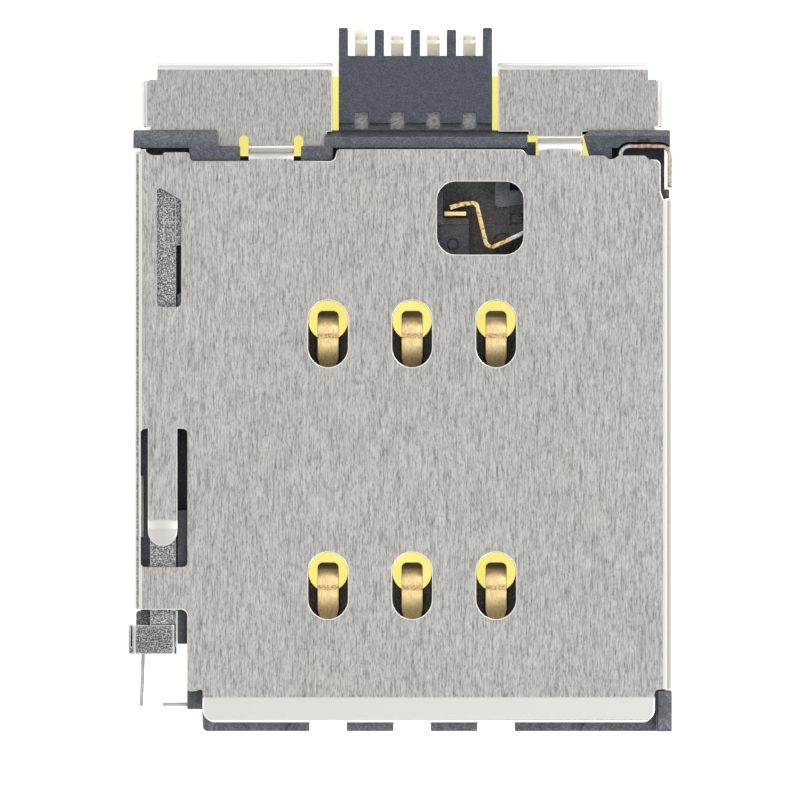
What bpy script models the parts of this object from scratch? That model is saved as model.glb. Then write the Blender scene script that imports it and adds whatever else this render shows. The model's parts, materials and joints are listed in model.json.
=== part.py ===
"""Micro sim card socket: folded cover, moulded housing, six contacts, detect switch and eject linkage.

Shapes are drawn in millimetres, because a sheet of 0.15 mm is near the limits of Blender's fills in
metres, and each finished piece is stored in metres. +Y points from the mouth to the comb of tails,
+Z points away from the board, and the origin is the middle of the footprint on the board.
"""
import math

import bmesh
import bpy
from mathutils import Matrix, Vector

MM = 0.001

# General
GAP = 0.03                  # running gap between pieces that touch
SHEET = 0.15                # thickness of the cover's steel
BEND = 0.25                 # outside radius of the cover's folds
LEAD = 0.12                 # thickness of the contact strip
FINE = 0.05                 # the three corner radii of stampings and mouldings
SOFT = 0.10
ROUND = 0.18

# Heights
FILM = 0.05
FLOOR = 0.35
CARD_SPACE = 1.17           # from the housing's floor to the cover
WING_DROP = 0.45            # step from the cover down to its rear wings
FLARE_RISE = 0.30           # how far the mouth's edge stands above the cover
SOLDER_Z = 0.02             # lower edge of the cover's walls and flanges

HOUSING_Z = FILM + GAP
FLOOR_TOP = HOUSING_Z + FLOOR
COVER_IN = FLOOR_TOP + CARD_SPACE
COVER_TOP = COVER_IN + SHEET
COVER_MID = COVER_IN + SHEET / 2
WING_MID = COVER_MID - WING_DROP
WALL_TOP = COVER_IN - GAP

# Cover, seen from above
COVER_LEFT = -8.03
COVER_RIGHT = 8.20
COVER_REAR = 6.96
COVER_FRONT = -9.56         # fold line of the flare
LEFT_WALL_FRONT = -6.96
RIGHT_WALL_REAR = 5.45
RIGHT_WALL_FRONT = -9.38
LEFT_STEP_X = -6.44         # the cover's left edge in front of the rod's head
STEP_FRONT = -9.37
RIGHT_EDGE = 7.87           # the cover's right edge behind its right wall
RIGHT_REAR = 6.65
FLARE_LEFT = -5.97
FLARE_RIGHT = 7.70
FLARE_LENGTH = 0.78
FLARE_CORNER = 0.42
NOTCH_DEPTH = 0.36          # the cover's cut-outs over the housing's rear wall
LEFT_NOTCH = (-6.36, -2.00)
RIGHT_NOTCH_X = 3.70
RIGHT_NOTCH_DEPTH = 0.19
EDGE_DIP = 0.18             # shallow dip in the rear edge at the left corner
DIP_AT = (0.27, 0.60, 0.64)    # corners of the dip, from the left fold
LOBE = 0.11                 # small stamped lobes where the blanking cuts meet
LOBE_AT = 0.66              # from the right bridge to the lobe beside it
LOBE_RUNS = (0.15, 0.12, 0.17)   # fall, tip and rise of the lobe
STEP_LOBE = (0.14, 0.18)    # start and tip of the lobe in front, from the flare
REAR_SLOPE = (0.47, 0.36)   # slope of the rear edge, from the right edge
WALL_CHAMFER = 0.22         # the plate's run from its right edge out to the wall
FOLD_LAP = 0.10             # run of flat plate that each fold is drawn with
BEND_SHARE = 0.9            # share of a joggle's run that its bends take

# Bridges and wings
LEFT_BRIDGE = (-4.58, -3.22)
LEFT_BRIDGE_Y = (6.61, 7.08)
RIGHT_BRIDGE = (4.16, 5.51)
RIGHT_BRIDGE_Y = (6.93, 7.37)
SLIT = 0.29                 # width of the relief slits beside the bridges
SLIT_END = 7.38
WING_LEFT = -7.82
WING_RIGHT = 7.97
WING_REAR = 9.58
WING_INNER_LEFT = -2.05
WING_INNER_RIGHT = 2.96
WING_FRONT = 7.09
WING_CORNER = 0.20          # side of the square notch at each outer rear corner
WING_SIDE = (7.64, 9.06)    # run of the wings' side flanges
RELIEF = 0.03               # bend relief at the end of a flange
TUCK = 0.05                 # how far the wings reach under the rear wall's blocks

# Openings in the cover
WINDOW_WIDTH = 1.20         # contact windows
WINDOW_LENGTH = 2.02
SWITCH_WINDOW = (1.115, 3.725, 3.78, 5.98)
SWITCH_CORNER = 0.55
ROD_SLOT = (-7.35, -6.62, 2.19, 5.85)
ROD_SLOT_SLANT = 0.43       # fall of the slot's rear edge across its width
TONGUE_SLOT = (-7.85, -6.43, -5.67, -1.49)
TONGUE = (-7.63, -6.73)
TONGUE_END = -5.04
TONGUE_CREASE = (-4.52, -4.28)
TONGUE_DROP = 0.11
TONGUE_LIFT = 0.10          # rise of the tongue's rounded end past its crease
SLOT_CORNER = 0.15

# Card contacts
PITCH = 2.54
ROW_PITCH = 7.61
MIDDLE_COLUMN = 0.36
UPPER_ROW = 1.31            # place of the upper domes' tops
DOME_TOP = 1.30
DOME_RADIUS = 0.80
DOME_WIDTH = 0.64
NECK_WIDTH = 0.50
DOME_TURN = math.radians(32)  # slope of the dome where the nose is folded down
NOSE_TURN = math.radians(64)
NOSE_LENGTH = 0.62
NOSE_BEND = 0.12
TIP_ROUND = 0.16
BEAM_LENGTH = 2.70          # from the root to the dome's top
HOLE_RADIUS = 0.60
HOLE_AHEAD = 0.48           # from the dome's top to the middle of the round hole
PAD_WIDTH = 0.90
PAD_LENGTH = 0.45
BEAM_BEND = 0.30            # bend radius where the beam leaves its pad
NECK_AT = 0.35              # from the root to the narrow neck
NECK_END = 0.90             # from the dome's top back to the end of the neck
DOME_START = 0.65           # from the dome's top back to the dome's full width
TAIL_WIDTH = 0.28
TAIL_AT = (-1.175, -0.57, 1.95)   # where each upper contact's tail passes its round hole
TAIL_JOG = 0.50
ROUTE_BEND = 0.25           # bends of the flat strips under the housing
CARD_SLOTS = (0, 1, 3)      # the comb's slots of the upper contacts, the other is the detect contact's
MOUTH_TAIL_END = -10.25

# Comb
COMB_MIDDLE = 0.46
COMB_PITCH = 1.09
FINGER_WIDTH = 0.28
COMB_FRONT = 9.79
OUTER_FINGER = 10.64
INNER_FINGER = 10.58
COMB_TOP = 1.10
COMB_WINDOW = (0.43, 7.55, 8.09)
COMB_TAIL_WIDTH = 0.52
TIP_WIDTH = 0.38
TIP_ENDS = (10.57, 10.44, 10.44, 10.44)   # from the left
TIP_BEND = 10.26

# Film
FILM_LEFT = -7.26
FILM_RIGHT = 7.68
FILM_FRONT = -9.80
FILM_REAR = 9.18
FILM_CORNER = 0.30
FILM_NOTCH = (-6.35, -6.80)  # inner corner of the cut-out beside the rod's head

# Housing
HOUSING_LEFT = -7.60
HOUSING_REAR = 7.54
REAR_WALL = 0.54            # thickness of the rear wall
BLOCK_LEFT = -8.07
BLOCK_RIGHT = 8.16
LIP_FRONT = -10.64
LIP_GAP = 1.13
BEAM_PLAY = 0.05            # room beside a beam in its window
BEAM_WEB = 0.12             # thickness of the floor left under a beam
WEB_END = 1.90              # from the dome's top back to the end of that floor
LEFT_BLOCK_END = -5.52      # the rear wall's three blocks, with gaps for the bridges
LEFT_TOE = (-6.38, -4.84, 6.60)
CENTRE_BLOCK = (-2.27, 3.85)
CENTRE_TOE = (-3.00, -2.03, 6.60)
RIGHT_BLOCK = 5.73
RIGHT_TOE = (6.40, 6.70)
BLOCK_CHAMFER = 0.18
BLOCK_SLOPES = ((0.29, 0.15), (0.21, 0.60), (0.17, 0.15))   # width and depth on each rear block
TAIL_NOTCH = (7.20, 7.55, 7.05, 7.26)   # room in the right block behind the detect spring's tail
TAIL_NOTCH_DEPTH = 0.30
FLOOR_REAR = 6.76           # the floor's rear edge in front of the bridges
RIGHT_FLOOR_EDGE = 8.00
NIB = (8.14, 5.755)
SHELF_LEFT = (-7.30, -2.15)
SHELF_RIGHT = (3.06, 7.60)
SHELF_REAR = 9.12
SHELF_FRONT = 7.41          # the shelves' front edge behind the bridges' slits
GUIDE = 0.30                # thickness of the right guide wall
CORNER_BLOCK = (7.74, 8.21)
CORNER_TOP = 1.62
CORNER_RIB = 0.06           # width of the step round the corner block's raised rib
RIB_TOP = 1.78
FRONT_BLOCK = (-6.44, -9.97)
FRONT_BLOCK_TOP = 1.20
ROD_WALL = (-6.73, -6.43)
ROD_WALL_REAR = 2.60
ROD_WALL_FRONT = -7.99
WALL_GAP = (-3.95, -1.30, 0.70)   # run and sill of the rod wall's gap beside the tongue
LIP_RECESS = ((-4.04, 1.60), (4.85, 1.60))   # middle and width of the lip's two ramps
RAMP_DEPTH = 0.12
LIP_PADS = (-5.59, 6.34)    # where the lip's raised end pads begin
PAD_LEAN = 0.20             # slant of the end pads' inner edges
PAD_RISE = 0.05
SWITCH_BLOCK = (1.11, 2.08, 3.60, 4.89)
SWITCH_BLOCK_TOP = 0.75
SWITCH_STEP = 0.20
SWITCH_RIB = (1.29, 5.73)
SWITCH_RIB_TOP = 0.90
STOP_BLOCK = (2.86, 4.10, 5.18)
STOP_BLOCK_TOP = 1.20
STOP_NOTCH = (3.32, 3.59, 5.72, 5.94)
SMALL_MARK = (1.59, 4.09, 0.19)
LARGE_MARK = (3.12, 4.11, 0.33)
SQUARE_MARK = (3.33, 3.76, 4.70, 5.05)
MARK_DEPTH = 0.04
MARK_GROOVE = 0.05          # width of the groove round each moulding mark

# Push rod
ROD_LEFT = -7.56
ROD_RIGHT = -6.77
ROD_THICK = 0.50
ROD_PLAY = 0.15             # from the push rod's top to the cover
ROD_TOP = COVER_IN - ROD_PLAY
ROD_END = 5.97              # left corner of the slanted rear end
ROD_SLANT = 0.58            # fall of the end for each millimetre across
FOOT_RIGHT = -6.45
FOOT_FRONT = 4.06
HEAD_LEFT = -8.22
HEAD_REAR = -7.42
HEAD_FRONT = -8.30
HEAD_WALL = 0.22
HEAD_DROP = 0.35            # how far the head's folded walls hang below the rod
HEAD_STEP = 0.06
HEAD_GROOVE = (0.07, 0.12)  # open seam between the head's plate and its left wall
HEAD_FOLD = 0.14            # radius of the head's folds
EMBOSS = (-7.13, -6.80, 4.12, 5.50)
EMBOSS_DEPTH = 0.05
SHOULDER_LEFT = -8.00
SHOULDER_THICK = 0.30

# Eject lever
PIVOT = (-3.30, 5.70)
LEVER_THICK = 0.30
LEVER_Z = 1.02
HUB_RADIUS = 0.70
BOSS_RADIUS = 0.40
SHORT_ARM_TIP = (-6.86, 5.85)
TIP_RADIUS = 0.22
LONG_ARM_TIP = (0.70, 4.95)
PUSHER_RADIUS = 0.28

# Detect switch
SWITCH_STRIP = 0.14
SWITCH_Z = (0.60, 1.25)
SPRING_PATH = ((1.50, 5.17), (1.83, 5.33, 0.3), (2.29, 5.385, 0.17), (2.648, 3.932, 0.2),
               (6.64, 5.85, 0.4), (6.64, 7.076, 0.27), (8.154, 7.076, 0.27), (8.154, 5.80))
BAR = (1.33, 1.99, 5.015)
BAR_TOP = 1.20
BAR_STEM = 0.30

# Thin leaf strips at the left
LEAF = 0.11
LEAF_Z = (0.12, 0.55)
SIDE_LEAF_PATH = ((-7.45, -0.30), (-7.45, -0.80, 0.2), (-7.78, -1.25, 0.3), (-7.78, -5.20, 3.0),
                  (-7.78, -8.30, 3.0), (-7.835, -9.88))
LEAF_VIEW = (-2.92, -4.76)  # run of the gap through which the side leaf's edge is seen
FRONT_LEAF = (-7.19, -6.10, -9.83)


def start_clean():
    """Empty the scene and make one collection for the parts and one for the cutters."""
    for old in list(bpy.data.objects):
        bpy.data.objects.remove(old, do_unlink=True)
    collections = []
    for name in ("sim_card_socket", "cutters"):
        collection = bpy.data.collections.get(name) or bpy.data.collections.new(name)
        if collection.name not in bpy.context.scene.collection.children:
            bpy.context.scene.collection.children.link(collection)
        collections.append(collection)
    return collections


PARTS, CUTTERS = start_clean()


def finish_material(name, colour, roughness, metallic):
    """A Principled material with one colour, roughness and metallic value."""
    material = bpy.data.materials.new(name)
    material.use_nodes = True
    shader = material.node_tree.nodes["Principled BSDF"]
    shader.inputs["Base Color"].default_value = (*colour, 1.0)
    shader.inputs["Roughness"].default_value = roughness
    shader.inputs["Metallic"].default_value = metallic
    material.diffuse_color = (*colour, 1.0)
    return material


STAINLESS = finish_material("brushed_stainless", (0.56, 0.55, 0.52), 0.38, 1.0)
ROUGH_STEEL = finish_material("rough_steel", (0.38, 0.37, 0.36), 0.60, 1.0)
PLASTIC = finish_material("housing_plastic", (0.06, 0.07, 0.09), 0.55, 0.0)
GOLD = finish_material("gold_plate", (0.85, 0.60, 0.25), 0.28, 1.0)
POLYIMIDE = finish_material("polyimide_film", (0.90, 0.70, 0.08), 0.35, 0.0)


def rounded(corners, closed=True, step=math.radians(18)):
    """Points through (x, y) or (x, y, radius) corners, each radius drawn as an arc."""
    count = len(corners)
    points = []
    for index, corner in enumerate(corners):
        here = Vector(corner[:2])
        radius = corner[2] if len(corner) > 2 else 0.0
        at_end = not closed and index in (0, count - 1)
        if radius <= 0 or at_end:
            points.append(here)
            continue
        back = Vector(corners[index - 1][:2]) - here
        ahead = Vector(corners[(index + 1) % count][:2]) - here
        half = back.angle(ahead) / 2
        if half > math.pi / 2 - 1e-3 or half < 1e-3:
            points.append(here)
            continue
        reach = min(radius / math.tan(half), back.length / 2, ahead.length / 2)
        radius = reach * math.tan(half)
        centre = here + (back.normalized() + ahead.normalized()).normalized() * radius / math.sin(half)
        start = here + back.normalized() * reach - centre
        turn = start.angle_signed(here + ahead.normalized() * reach - centre)
        steps = max(2, math.ceil(abs(turn) / step))
        for number in range(steps + 1):
            points.append(centre + Matrix.Rotation(-turn * number / steps, 2) @ start)
    return without_doubles(points, closed)


def without_doubles(points, closed):
    """The points with neighbours closer than a micron left out."""
    kept = []
    for point in points:
        if not kept or (point - kept[-1]).length > 1e-3:
            kept.append(point)
    if closed and (kept[0] - kept[-1]).length <= 1e-3:
        kept.pop()
    return kept


def circle(centre, radius, steps=32):
    """A closed round outline."""
    turns = [2 * math.pi * number / steps for number in range(steps)]
    return [Vector((centre[0] + radius * math.cos(a), centre[1] + radius * math.sin(a))) for a in turns]


def rectangle(left, right, low, high, radius=0.0):
    """A closed rectangle, its corners rounded where a radius is given."""
    return rounded([(left, low, radius), (right, low, radius), (right, high, radius), (left, high, radius)])


def slot_outline(x, low, high, width, steps=16):
    """A closed slot along Y with round ends."""
    radius = width / 2
    turns = [math.pi * number / steps for number in range(steps + 1)]
    top = [Vector((x + radius * math.cos(a), high - radius + radius * math.sin(a))) for a in turns]
    bottom = [Vector((x - radius * math.cos(a), low + radius - radius * math.sin(a))) for a in turns]
    return top + bottom


def strip_outline(corners, width):
    """The closed outline of a strip of even width that follows a path through the corners."""
    path = rounded(corners, closed=False)
    left, right = [], []
    for index, point in enumerate(path):
        before = path[max(index - 1, 0)]
        after = path[min(index + 1, len(path) - 1)]
        first = (point - before).normalized() if index else (after - point).normalized()
        last = (after - point).normalized() if index < len(path) - 1 else first
        along = (first + last).normalized()
        mitre = width / 2 / max(along.dot(first), 0.5)
        side = Vector((-along.y, along.x)) * mitre
        left.append(point + side)
        right.append(point - side)
    return left + right[::-1]


def solid(outlines, low, high, axis="Z"):
    """Extrude closed outlines, the first with the others as its holes, between two levels.

    Along Z the outlines are (x, y), along X they are (y, z) and along Y they are (x, z).
    """
    curve = bpy.data.curves.new("outline", "CURVE")
    curve.dimensions = "2D"
    curve.fill_mode = "BOTH"
    curve.extrude = (high - low) / 2
    for outline in outlines:
        spline = curve.splines.new("POLY")
        spline.points.add(len(outline) - 1)
        for control, point in zip(spline.points, outline):
            control.co = (point[0], point[1], 0.0, 1.0)
        spline.use_cyclic_u = True
    source = bpy.data.objects.new("outline", curve)
    bpy.context.scene.collection.objects.link(source)
    bpy.context.view_layer.update()
    mesh = bpy.data.meshes.new_from_object(source.evaluated_get(bpy.context.evaluated_depsgraph_get()))
    bpy.data.objects.remove(source, do_unlink=True)
    bpy.data.curves.remove(curve)
    middle = Matrix.Translation((0, 0, (low + high) / 2))
    turns = {
        "Z": Matrix.Identity(4),
        "X": Matrix(((0, 0, 1, 0), (1, 0, 0, 0), (0, 1, 0, 0), (0, 0, 0, 1))),
        "Y": Matrix(((1, 0, 0, 0), (0, 0, 1, 0), (0, 1, 0, 0), (0, 0, 0, 1))),
    }
    mesh.transform(turns[axis] @ middle)
    weld(mesh)
    blank = bpy.data.objects.new("blank", mesh)
    bpy.context.scene.collection.objects.link(blank)
    return blank


def weld(mesh):
    """Join the loose caps to the sides, put level faces on equal levels and point all faces out."""
    shape = bmesh.new()
    shape.from_mesh(mesh)
    for vert in shape.verts:
        vert.co = [round(value, 4) for value in vert.co]
    bmesh.ops.remove_doubles(shape, verts=shape.verts, dist=2e-4)
    bmesh.ops.recalc_face_normals(shape, faces=shape.faces)
    shape.to_mesh(mesh)
    shape.free()


def combine(base, tool, operation):
    """Apply one exact Boolean to the base and put its result in the base's mesh."""
    modifier = base.modifiers.new("boolean", "BOOLEAN")
    modifier.solver = "EXACT"
    modifier.operation = operation
    modifier.object = tool
    bpy.context.view_layer.update()
    result = bpy.data.meshes.new_from_object(base.evaluated_get(bpy.context.evaluated_depsgraph_get()))
    base.modifiers.remove(modifier)
    old = base.data
    base.data = result
    bpy.data.meshes.remove(old)


def add(base, *tools):
    """Join solids to the base."""
    for tool in tools:
        combine(base, tool, "UNION")
        bpy.data.objects.remove(tool, do_unlink=True)
    return base


def store_cutter(tool):
    """Keep a used cutter, in metres, out of the render."""
    tool.data.transform(Matrix.Scale(MM, 4))
    tool.name = "cutter"
    tool.hide_render = True
    tool.display_type = "WIRE"
    bpy.context.scene.collection.objects.unlink(tool)
    CUTTERS.objects.link(tool)


def cut(base, *tools):
    """Cut solids out of the base."""
    for tool in tools:
        combine(base, tool, "DIFFERENCE")
        store_cutter(tool)
    return base


def trim(base, tool):
    """Keep only what lies inside the tool."""
    combine(base, tool, "INTERSECT")
    store_cutter(tool)
    return base


def place(piece, name, material, axis_point=(0.0, 0.0, 0.0)):
    """Name a finished piece, give it its material and store it in metres about its own origin."""
    piece.data.transform(Matrix.Translation(-Vector(axis_point)))
    piece.data.transform(Matrix.Scale(MM, 4))
    piece.location = Vector(axis_point) * MM
    piece.name = name
    piece.data.name = name
    piece.data.materials.clear()
    piece.data.materials.append(material)
    piece.data.shade_smooth()
    piece.data.set_sharp_from_angle(angle=math.radians(30))
    bpy.context.scene.collection.objects.unlink(piece)
    PARTS.objects.link(piece)
    return piece


def column_x(number):
    """Place of a contact column across the card."""
    return MIDDLE_COLUMN + (number - 1) * PITCH


def comb_x(number):
    """Place of a slot between two fingers of the comb."""
    return COMB_MIDDLE + (number - 1.5) * COMB_PITCH


ROWS = {"upper": UPPER_ROW, "lower": UPPER_ROW - ROW_PITCH}
REAR_FACE = HOUSING_REAR - REAR_WALL
LEAD_TOP = HOUSING_Z + LEAD
LEAD_MID = HOUSING_Z + LEAD / 2
ROD_Z = ROD_TOP - ROD_THICK


def cover_outline():
    """Flat pattern of the main plate, inside the folds of its side walls."""
    left = COVER_LEFT + BEND
    right = COVER_RIGHT - BEND
    dip = COVER_REAR - EDGE_DIP
    shelf = COVER_REAR - EDGE_DIP / 2
    notch = COVER_REAR - NOTCH_DEPTH
    ramp = COVER_REAR - RIGHT_NOTCH_DEPTH
    lobe = RIGHT_BRIDGE[1] + LOBE_AT
    tip = lobe + LOBE_RUNS[0]
    tip_end = tip + LOBE_RUNS[1]
    return rounded([
        (left, COVER_REAR), (left + DIP_AT[0], dip, SOFT), (left + DIP_AT[1], dip, FINE),
        (left + DIP_AT[2], shelf, FINE), (LEFT_NOTCH[0], shelf, SOFT), (LEFT_NOTCH[0], notch, ROUND),
        (LEFT_NOTCH[1], notch, ROUND), (LEFT_NOTCH[1] + SOFT, COVER_REAR, SOFT),
        (RIGHT_NOTCH_X, COVER_REAR, ROUND), (RIGHT_BRIDGE[0] - SLIT, ramp, SOFT),
        (lobe, ramp, FINE), (tip, ramp - LOBE, FINE), (tip_end, ramp - LOBE, FINE),
        (tip_end + LOBE_RUNS[2], ramp, SOFT),
        (RIGHT_EDGE - REAR_SLOPE[0], ramp, SOFT), (RIGHT_EDGE - REAR_SLOPE[1], RIGHT_REAR, SOFT),
        (RIGHT_EDGE, RIGHT_REAR, ROUND), (RIGHT_EDGE, RIGHT_WALL_REAR + WALL_CHAMFER),
        (right, RIGHT_WALL_REAR), (right, RIGHT_WALL_FRONT), (FLARE_RIGHT, RIGHT_WALL_FRONT, SOFT),
        (FLARE_RIGHT, COVER_FRONT), (FLARE_LEFT, COVER_FRONT), (FLARE_LEFT, STEP_FRONT, SOFT),
        (FLARE_LEFT - STEP_LOBE[0], STEP_FRONT, FINE),
        (FLARE_LEFT - STEP_LOBE[1], STEP_FRONT - LOBE / 2, FINE),
        (LEFT_STEP_X, STEP_FRONT - LOBE / 2, SOFT), (LEFT_STEP_X, LEFT_WALL_FRONT, ROUND),
        (left, LEFT_WALL_FRONT),
    ])


def cover_openings():
    """Contact windows, switch window and rod slot."""
    openings = []
    for row in ROWS.values():
        high = row + HOLE_AHEAD + WINDOW_WIDTH / 2
        for number in range(3):
            openings.append(slot_outline(column_x(number), high - WINDOW_LENGTH, high, WINDOW_WIDTH))
    openings.append(rectangle(*SWITCH_WINDOW, SWITCH_CORNER))
    left, right, front, rear = ROD_SLOT
    openings.append(rounded([(left, front, SLOT_CORNER), (right, front, SLOT_CORNER),
                             (right, rear - ROD_SLOT_SLANT, FINE), (left, rear, SOFT)]))
    return openings


def fold_down(x_edge, inward, level, y_range):
    """A wall folded down along Y: its outer face at x_edge, its plate towards inward (+1 or -1)."""
    middle = x_edge + inward * SHEET / 2
    path = [(x_edge + inward * (BEND + FOLD_LAP), level), (middle, level, BEND - SHEET / 2),
            (middle, SOLDER_Z)]
    return solid([strip_outline(path, SHEET)], *y_range, axis="Y")


def tongue():
    """The spring tongue, pressed down at its free end onto the rod."""
    low = COVER_MID - TONGUE_DROP
    path = [(TONGUE_SLOT[3] + FOLD_LAP, COVER_MID), (TONGUE_CREASE[1], COVER_MID, BEND),
            (TONGUE_CREASE[0], low, BEND), (TONGUE_END, low + TONGUE_LIFT)]
    strip = solid([strip_outline(path, SHEET)], *TONGUE, axis="X")
    radius = (TONGUE[1] - TONGUE[0]) / 2
    shape = rounded([(TONGUE[0], TONGUE_END, radius), (TONGUE[1], TONGUE_END, radius),
                     (TONGUE[1], COVER_REAR), (TONGUE[0], COVER_REAR)])
    return trim(strip, solid([shape], HOUSING_Z, COVER_TOP + SHEET))


def flare():
    """The mouth's edge, bent up so that a card finds its way in."""
    path = [(COVER_FRONT + FOLD_LAP, COVER_MID), (COVER_FRONT - BEND / 4, COVER_MID, BEND),
            (COVER_FRONT - FLARE_LENGTH, COVER_MID + FLARE_RISE)]
    strip = solid([strip_outline(path, SHEET)], FLARE_LEFT, FLARE_RIGHT, axis="X")
    front = COVER_FRONT - FLARE_LENGTH - GAP
    shape = rounded([(FLARE_LEFT, front, FLARE_CORNER), (FLARE_RIGHT, front, FLARE_CORNER),
                     (FLARE_RIGHT, COVER_REAR), (FLARE_LEFT, COVER_REAR)])
    return trim(strip, solid([shape], HOUSING_Z, COVER_TOP + 2 * FLARE_RISE))


def wing_outlines():
    """The left and the right rear wing with their bridges, seen from above."""
    hidden = HOUSING_REAR - TUCK
    front = WING_FRONT - GAP - TUCK
    rear = WING_REAR + FOLD_LAP
    left = WING_LEFT + BEND
    right = WING_RIGHT - BEND
    side = WING_SIDE[1] + RELIEF
    slit = SLIT / 2
    root = COVER_REAR - NOTCH_DEPTH - 2 * FOLD_LAP
    left_wing = rounded([
        (left, hidden), (LEFT_BLOCK_END - TUCK, hidden), (LEFT_BLOCK_END - TUCK, front),
        (LEFT_BRIDGE[0] - SLIT, front), (LEFT_BRIDGE[0] - SLIT, SLIT_END, slit),
        (LEFT_BRIDGE[0], SLIT_END, slit), (LEFT_BRIDGE[0], root),
        (LEFT_BRIDGE[1], root), (LEFT_BRIDGE[1], SLIT_END, slit),
        (LEFT_BRIDGE[1] + SLIT, SLIT_END, slit), (LEFT_BRIDGE[1] + SLIT, front),
        (CENTRE_BLOCK[0] + TUCK, front), (CENTRE_BLOCK[0] + TUCK, hidden), (WING_INNER_LEFT, hidden),
        (WING_INNER_LEFT, rear), (left + WING_CORNER, rear), (left + WING_CORNER, side), (left, side),
    ])
    right_wing = rounded([
        (WING_INNER_RIGHT, hidden), (CENTRE_BLOCK[1] + GAP, hidden), (CENTRE_BLOCK[1] + GAP, SLIT_END),
        (RIGHT_BRIDGE[0], SLIT_END, FINE), (RIGHT_BRIDGE[0], root), (RIGHT_BRIDGE[1], root),
        (RIGHT_BRIDGE[1], hidden), (right, hidden), (right, side), (right - WING_CORNER, side),
        (right - WING_CORNER, rear), (WING_INNER_RIGHT, rear),
    ])
    return left_wing, right_wing


def rear_wing(bridge_y, outline):
    """A bridge, its wing and the wing's folded rear flange: one bent strip trimmed to its outline."""
    front, rear = bridge_y
    run = (rear - front) / 4
    turn = math.atan2(WING_DROP, rear - front - 2 * run)
    radius = BEND_SHARE * run / math.tan(turn / 2)
    edge = WING_REAR - SHEET / 2
    path = [(COVER_REAR - NOTCH_DEPTH - FOLD_LAP, COVER_MID), (front + run, COVER_MID, radius),
            (rear - run, WING_MID, radius), (edge, WING_MID, BEND - SHEET / 2), (edge, SOLDER_Z)]
    strip = solid([strip_outline(path, SHEET)], WING_LEFT, WING_RIGHT, axis="X")
    return trim(strip, solid([outline], 0.0, COVER_TOP + SHEET))


def make_cover():
    """The cover: one sheet, stamped, joggled and folded."""
    cover = solid([cover_outline(), *cover_openings()], COVER_IN, COVER_TOP)
    add(cover,
        fold_down(COVER_LEFT, 1, COVER_MID, (LEFT_WALL_FRONT, COVER_REAR)),
        fold_down(COVER_RIGHT, -1, COVER_MID, (RIGHT_WALL_FRONT, RIGHT_WALL_REAR)))
    cut(cover, solid([rectangle(*TONGUE_SLOT, SLOT_CORNER)], COVER_IN - SHEET, COVER_TOP + SHEET))
    left_wing, right_wing = wing_outlines()
    add(cover,
        tongue(), flare(),
        rear_wing(LEFT_BRIDGE_Y, left_wing), rear_wing(RIGHT_BRIDGE_Y, right_wing),
        fold_down(WING_LEFT, 1, WING_MID, WING_SIDE), fold_down(WING_RIGHT, -1, WING_MID, WING_SIDE))
    return place(cover, "cover", STAINLESS)


def make_film():
    """The insulating film under the housing."""
    shape = rounded([
        (FILM_NOTCH[0], FILM_FRONT, SOFT), (FILM_RIGHT, FILM_FRONT, FILM_CORNER),
        (FILM_RIGHT, FILM_REAR, FILM_CORNER), (FILM_LEFT, FILM_REAR, FILM_CORNER),
        (FILM_LEFT, FILM_NOTCH[1], FILM_CORNER), (FILM_NOTCH[0], FILM_NOTCH[1], SOFT)])
    return place(solid([shape], 0.0, FILM), "insulating_film", POLYIMIDE)


def beam_path(row):
    """Side view of a card contact from its pad over the dome to the tip."""
    radius = DOME_RADIUS
    root = Vector((row - BEAM_LENGTH, LEAD_MID))
    centre = Vector((row, DOME_TOP - LEAD / 2 - radius))
    reach = centre - root
    rise = math.atan2(reach.y, reach.x) + math.asin(radius / reach.length)
    first, last = math.pi / 2 + rise, math.pi / 2 - DOME_TURN
    steps = 8
    turns = [first + (last - first) * number / steps for number in range(steps + 1)]
    arc = [(centre.x + radius * math.cos(a), centre.y + radius * math.sin(a)) for a in turns]
    fold = (arc[-1][0] + NOSE_BEND * math.cos(DOME_TURN), arc[-1][1] - NOSE_BEND * math.sin(DOME_TURN))
    tip = (fold[0] + NOSE_LENGTH * math.cos(NOSE_TURN), fold[1] - NOSE_LENGTH * math.sin(NOSE_TURN))
    return [(root.x - PAD_LENGTH - FOLD_LAP, LEAD_MID), (root.x, LEAD_MID, BEAM_BEND), *arc,
            (*fold, NOSE_BEND), tip]


def beam_plan(x, row):
    """Top view of a card contact: pad, narrow neck and wider dome with rounded tip corners."""
    pad, neck, dome = PAD_WIDTH / 2, NECK_WIDTH / 2, DOME_WIDTH / 2
    root = row - BEAM_LENGTH
    far = row + HOLE_AHEAD + HOLE_RADIUS
    tip = max(point[0] for point in beam_path(row))
    half = [(pad, root - PAD_LENGTH), (pad, root), (neck, root + NECK_AT, ROUND),
            (neck, row - NECK_END, BEAM_BEND), (dome, row - DOME_START, BEAM_BEND),
            (dome, min(tip - GAP, far), TIP_ROUND)]
    right = [(x + corner[0], *corner[1:]) for corner in half]
    left = [(x - corner[0], *corner[1:]) for corner in half[::-1]]
    return rounded(right + left)


def card_beam(x, row):
    """The formed spring of one card contact."""
    width = PAD_WIDTH + 2 * FOLD_LAP
    beam = solid([strip_outline(beam_path(row), LEAD)], x - width / 2, x + width / 2, axis="X")
    return trim(beam, solid([beam_plan(x, row)], 0.0, COVER_TOP))


def comb_tail_route(number, column, tail_x):
    """Route of an upper contact's tail from its pad to its slot in the comb, seen from above."""
    pad = UPPER_ROW - BEAM_LENGTH - PAD_LENGTH / 2
    past_hole = UPPER_ROW + HOLE_AHEAD + HOLE_RADIUS
    return [(column_x(column), pad), (tail_x, pad, ROUTE_BEND), (tail_x, past_hole, ROUTE_BEND),
            (comb_x(number), past_hole + TAIL_JOG, ROUTE_BEND), (comb_x(number), HOUSING_REAR)]


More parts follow.
